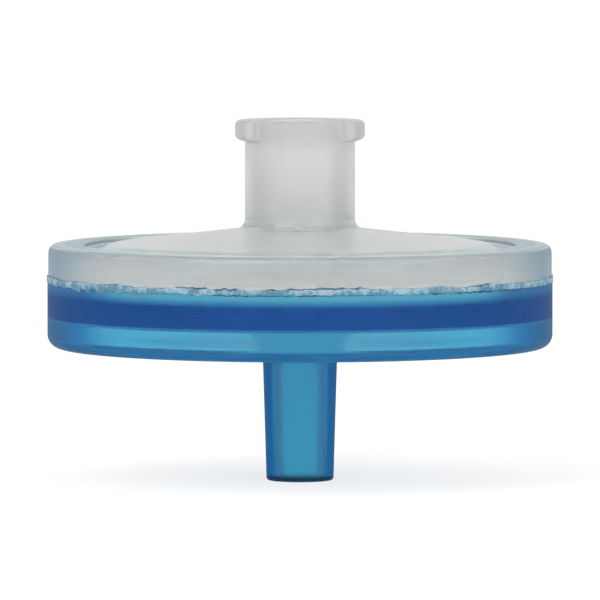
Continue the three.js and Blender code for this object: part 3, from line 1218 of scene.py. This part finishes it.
class FILTER_OT_membrane(bpy.types.Operator):
    """Build the white membrane disc"""

    bl_idname = "filter.membrane"
    bl_label = "Membrane"

    def execute(self, context):
        settings = context.scene.syringe_filter
        gap = settings.housing.parting_gap
        low, high = MEMBRANE_LOW.z + gap, MEMBRANE_HIGH.z - gap
        middle, half = (low + high) / 2, (high - low) / 2
        edge = MEMBRANE_HIGH.x - gap
        profile = [(r, low) for r in MEMBRANE_RINGS]
        profile += arc(edge - half, middle, half, half, 270, 450)
        profile += [(r, high) for r in reversed(MEMBRANE_RINGS)]
        disc = wrapped_mesh("membrane_disc", plain_rows(Columns(settings), profile))
        adopt(disc, membrane_material(settings.finish), "membrane", "membrane")
        return {"FINISHED"}


class FILTER_OT_studio(bpy.types.Operator):
    """Set the floor, the soft light and the camera"""

    bl_idname = "filter.studio"
    bl_label = "Studio"

    def execute(self, context):
        studio = context.scene.syringe_filter.studio
        self.world(context.scene, studio)
        self.floor()
        self.lights()
        self.camera(context.scene, studio)
        context.scene.view_settings.view_transform = "Standard"
        return {"FINISHED"}

    def world(self, scene, studio):
        graph = Graph(bpy.data.worlds.new("studio"), "ShaderNodeOutputWorld")
        lit = {"Color": WHITE, "Strength": studio.ambient}
        light = graph.node("ShaderNodeBackground", None, lit)
        white = graph.node("ShaderNodeBackground", None, {"Color": WHITE})
        scene.world = graph.finish(graph.mix_shader(graph.background_rays(), light, white))

    def floor(self):
        mesh = bpy.data.meshes.new("floor")
        half = FLOOR_HALF
        corners = [(-half, -half, 0), (half, -half, 0), (half, half, 0), (-half, half, 0)]
        mesh.from_pydata(corners, [], [(0, 1, 2, 3)])
        floor = bpy.data.objects.new("floor", mesh)
        bpy.context.scene.collection.objects.link(floor)
        graph = new_material("floor")
        paper = graph.node("ShaderNodeBsdfDiffuse", None, {"Color": PAPER})
        glow = graph.node("ShaderNodeEmission", None, {"Color": WHITE, "Strength": 1.0})
        glowing = graph.background_rays() * FLOOR_GLOW
        mesh.materials.append(graph.finish(graph.mix_shader(glowing, paper, glow)))

    def lights(self):
        for name, place, size, power in LAMPS:
            lamp = bpy.data.lights.new(name, "AREA")
            lamp.size = size
            lamp.energy = power
            made = bpy.data.objects.new(name, lamp)
            made.location = place
            aim = LAMP_TARGET - Vector(place)
            made.rotation_euler = aim.to_track_quat("-Z", "Y").to_euler()
            bpy.context.scene.collection.objects.link(made)

    def camera(self, scene, studio):
        low, high = CAD_BOX
        middle = (Vector(low) + Vector(high)) / 2
        back = Vector((0, -math.cos(studio.elevation), math.sin(studio.elevation)))
        lens = bpy.data.cameras.new("camera")
        lens.lens = lens.sensor_width * studio.distance / studio.field
        camera = bpy.data.objects.new("camera", lens)
        camera.location = middle + back * studio.distance
        camera.rotation_euler = (-back).to_track_quat("-Z", "Y").to_euler()
        scene.collection.objects.link(camera)
        scene.camera = camera


class FILTER_PT_panel(bpy.types.Panel):
    """Lists the settings and the build steps"""

    bl_idname = "FILTER_PT_panel"
    bl_label = "Syringe filter"
    bl_space_type = "VIEW_3D"
    bl_region_type = "UI"
    bl_category = "Filter"

    def draw(self, context):
        settings = context.scene.syringe_filter
        layout = self.layout
        for name in GROUPS:
            group = getattr(settings, name)
            box = layout.box()
            for key in group.bl_rna.properties.keys():
                if key not in ("rna_type", "name"):
                    box.prop(group, key)
        for operator in BUILD_ORDER:
            layout.operator(operator.bl_idname)


GROUPS = ("housing", "ribs", "luer", "flash", "finish", "studio")
BUILD_ORDER = (
    FILTER_OT_studio,
    FILTER_OT_membrane,
    FILTER_OT_outlet_shell,
    FILTER_OT_inlet_shell,
    FILTER_OT_flash,
)
CLASSES = (
    HousingSizes,
    RibSizes,
    LuerSizes,
    FlashSizes,
    Finishes,
    StudioSettings,
    FilterSettings,
    *BUILD_ORDER,
    FILTER_PT_panel,
)


def register():
    for item in CLASSES:
        bpy.utils.register_class(item)
    bpy.types.Scene.syringe_filter = PointerProperty(type=FilterSettings)


def unregister():
    del bpy.types.Scene.syringe_filter
    for item in reversed(CLASSES):
        bpy.utils.unregister_class(item)


def main():
    register()
    for operator in BUILD_ORDER:
        group, name = operator.bl_idname.split(".")
        getattr(getattr(bpy.ops, group), name)()


if __name__ == "__main__":
    main()
